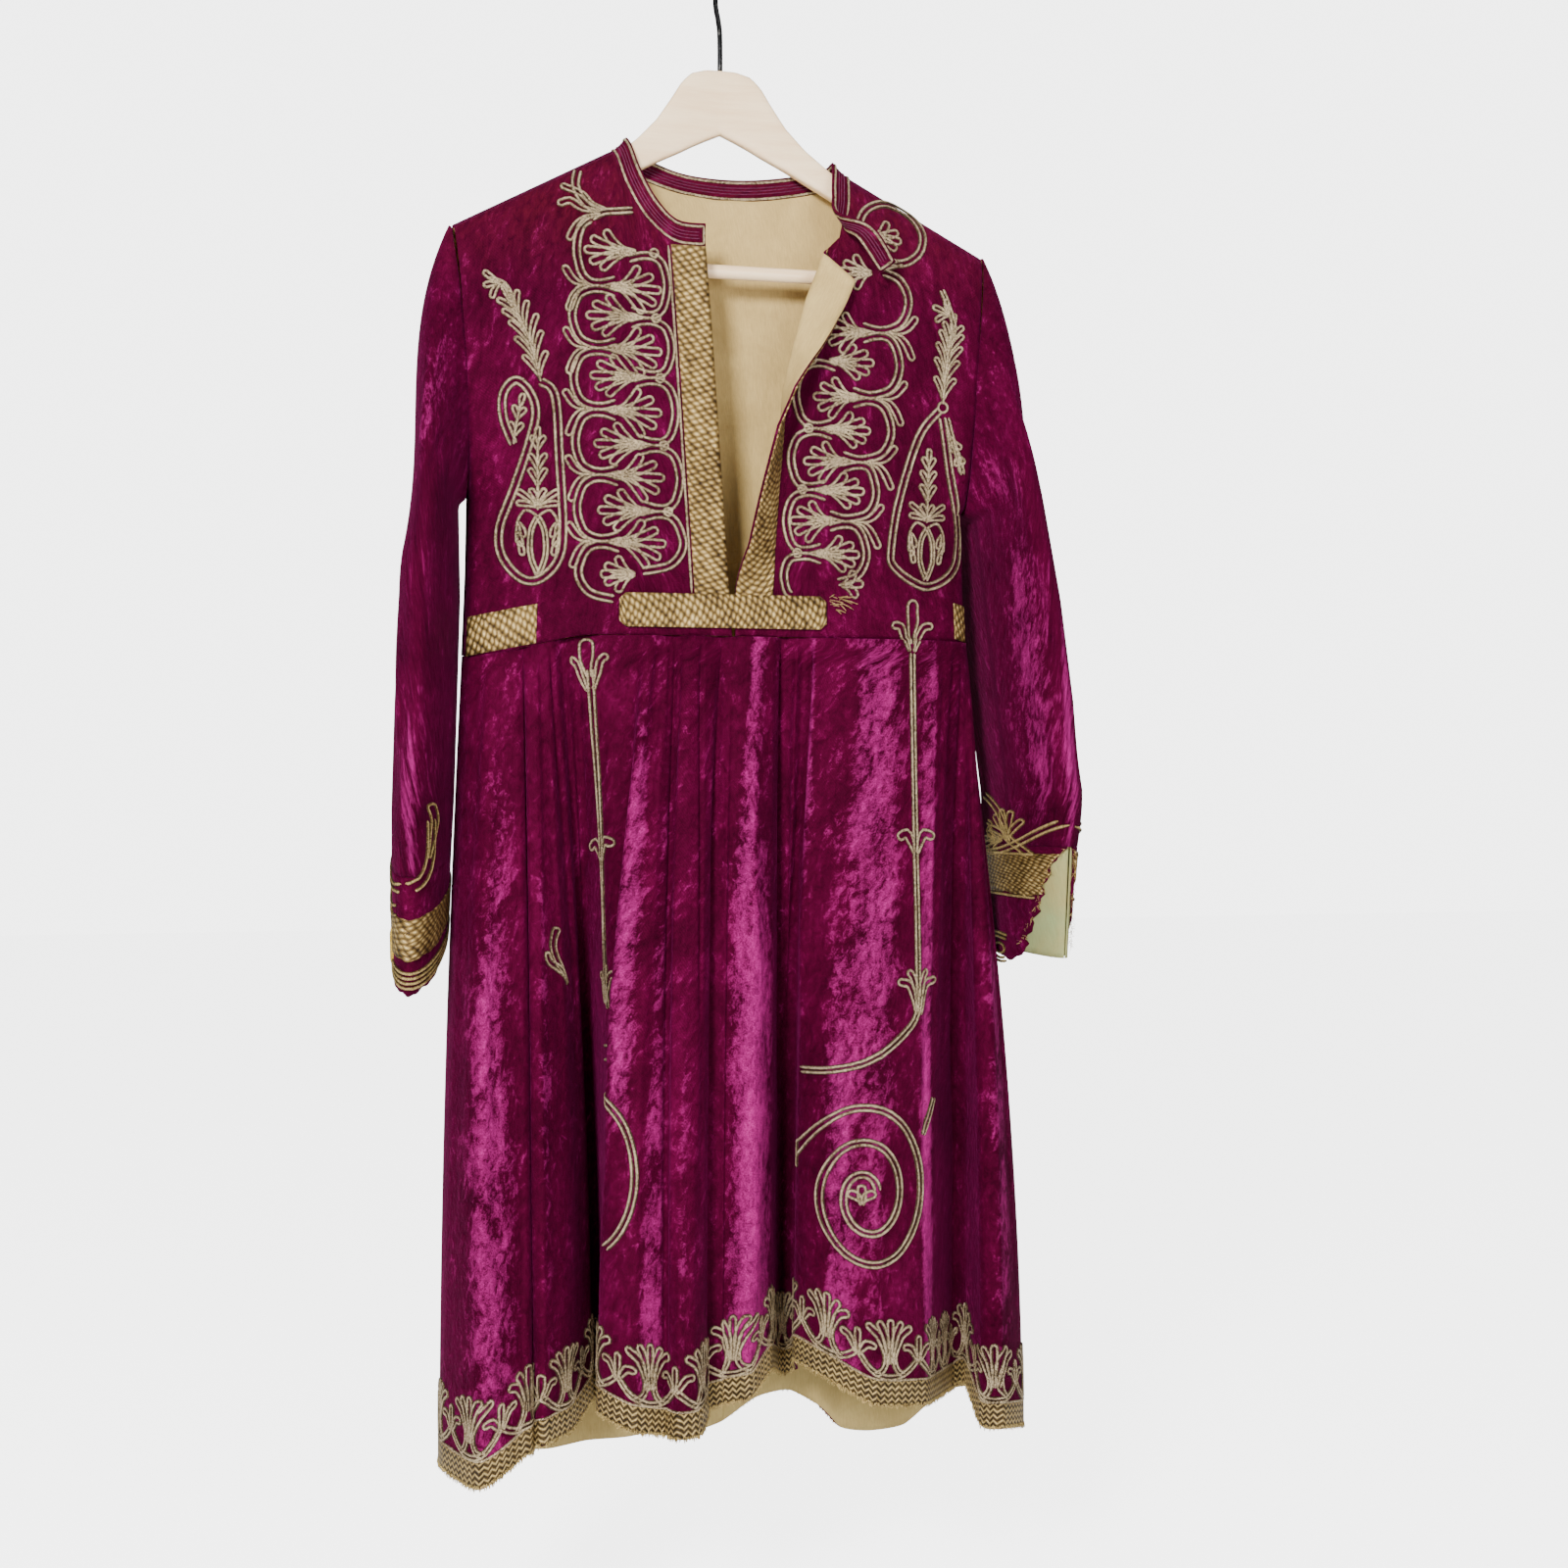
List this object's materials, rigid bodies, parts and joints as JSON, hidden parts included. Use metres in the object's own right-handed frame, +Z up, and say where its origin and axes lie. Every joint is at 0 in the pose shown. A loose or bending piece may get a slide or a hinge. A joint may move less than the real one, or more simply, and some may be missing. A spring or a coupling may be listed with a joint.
{
  "type": "entari robe on a wooden hanger",
  "caption": "Lined velvet entari robe with couched gold embroidery and braid, open at the chest, hanging from a wooden hanger with a trouser bar.",
  "frame": {"origin": "inside top of the hanger hook, where it rests on a rail", "axes": "+Z up, the front faces -Y, +X towards the robe wearer's left"},
  "size_m": [0.5429, 0.1834, 1.1971],
  "materials": {
    "velvet": "burgundy velvet with crushed pile, lined in khaki cotton",
    "braid": "woven gilt metal braid",
    "cord": "couched silver-gilt cord",
    "wood": "pale beech, satin lacquer",
    "wire": "black enamelled wire"
  },
  "bodies": {
    "root": {"hanger_hook": "wire", "hanger_wood": "wood", "hanger_bar": "wood", "collar": "velvet", "front_right": "velvet", "front_left": "velvet", "back_bodice": "velvet", "skirt_side_right": "velvet", "skirt_front_right": "velvet", "skirt_front_left": "velvet", "skirt_side_left": "velvet", "skirt_back_left": "velvet", "skirt_back_right": "velvet", "sleeve_upper_right": "velvet", "sleeve_lower_right": "velvet", "cuff_right": "velvet", "sleeve_upper_left": "velvet", "sleeve_lower_left": "velvet", "cuff_left": "velvet", "hem_band_side_right": "braid", "hem_band_front_right": "braid", "hem_band_front_left": "braid", "hem_band_side_left": "braid", "hem_band_back_left": "braid", "hem_band_back_right": "braid", "cuff_band_right": "braid", "cuff_band_left": "braid", "braid_front_right": "braid", "braid_front_left": "braid", "braid_waist": "braid", "braid_side_right": "braid", "braid_side_left": "braid", "vine_right": "cord", "vine_left": "cord", "teardrop_right": "cord", "teardrop_left": "cord", "stem_right": "cord", "stem_left": "cord", "spiral_right": "cord", "spiral_left": "cord"}
  },
  "joints": []
}
